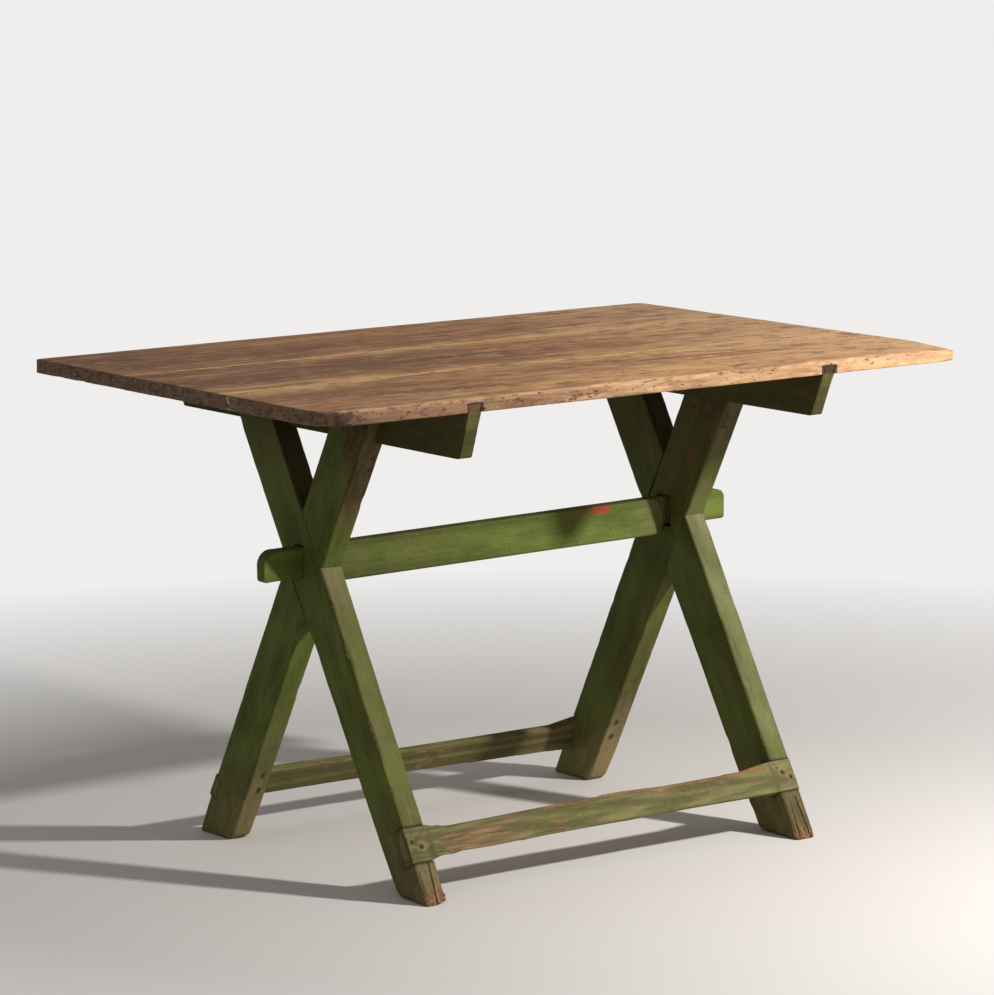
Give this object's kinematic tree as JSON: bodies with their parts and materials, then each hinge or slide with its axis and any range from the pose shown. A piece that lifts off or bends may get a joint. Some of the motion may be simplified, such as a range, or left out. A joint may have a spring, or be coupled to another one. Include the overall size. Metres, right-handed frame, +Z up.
{
  "type": "sawbuck table",
  "caption": "Farmhouse table with a board top on two crossed-leg frames, tied by a centre rail with through tenons and by low stretchers.",
  "frame": {"origin": "on the floor, under the centre of the top", "axes": "+X along the table from the left frame to the right one, +Y from the front edge to the back edge, +Z up"},
  "size_m": [1.178, 0.794, 0.76],
  "materials": {
    "top_wood": "worn bare pine, warm brown with dark streaks",
    "painted_wood": "old green paint on wood, worn through on arrises and feet",
    "dowel_wood": "plain turned wood",
    "nail_iron": "rusted wrought iron"
  },
  "bodies": {
    "root": {"top_board_front": "top_wood", "top_board_middle": "top_wood", "top_board_back": "top_wood", "front_seam_dowels": "dowel_wood", "back_seam_dowels": "dowel_wood", "left_batten": "painted_wood", "right_batten": "painted_wood", "left_front_foot_leg": "painted_wood", "left_back_foot_leg": "painted_wood", "right_front_foot_leg": "painted_wood", "right_back_foot_leg": "painted_wood", "centre_rail": "painted_wood", "front_stretcher": "painted_wood", "back_stretcher": "painted_wood", "front_stretcher_nails_left": "nail_iron", "front_stretcher_nails_right": "nail_iron", "back_stretcher_nails_left": "nail_iron", "back_stretcher_nails_right": "nail_iron", "batten_nails_left_front_foot": "nail_iron", "batten_nails_left_back_foot": "nail_iron", "batten_nails_right_front_foot": "nail_iron", "batten_nails_right_back_foot": "nail_iron"}
  },
  "joints": []
}
